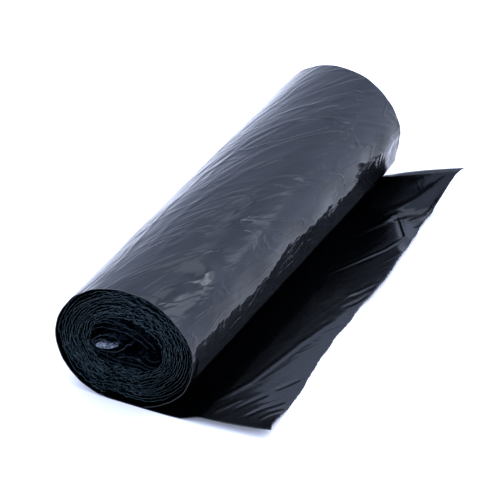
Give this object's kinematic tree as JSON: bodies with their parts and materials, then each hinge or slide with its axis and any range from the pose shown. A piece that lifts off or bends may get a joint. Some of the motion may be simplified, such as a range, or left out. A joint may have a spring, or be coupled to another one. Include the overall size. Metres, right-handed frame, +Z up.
{
  "type": "bin bag roll",
  "caption": "Coreless roll of black refuse sacks on its side: a thin folded film wound round an open eye, with its loose end lying beside it.",
  "frame": {"origin": "on the floor, in the middle of the flat strip on which the roll rests", "axes": "+X across the roll to its loose end, +Y along the roll from the near end to the far end, +Z up"},
  "size_m": [0.1385, 0.296, 0.0836],
  "materials": {
    "film": "glossy thin film"
  },
  "bodies": {
    "root": {"bag_roll": "film", "loose_end": "film"}
  },
  "joints": []
}
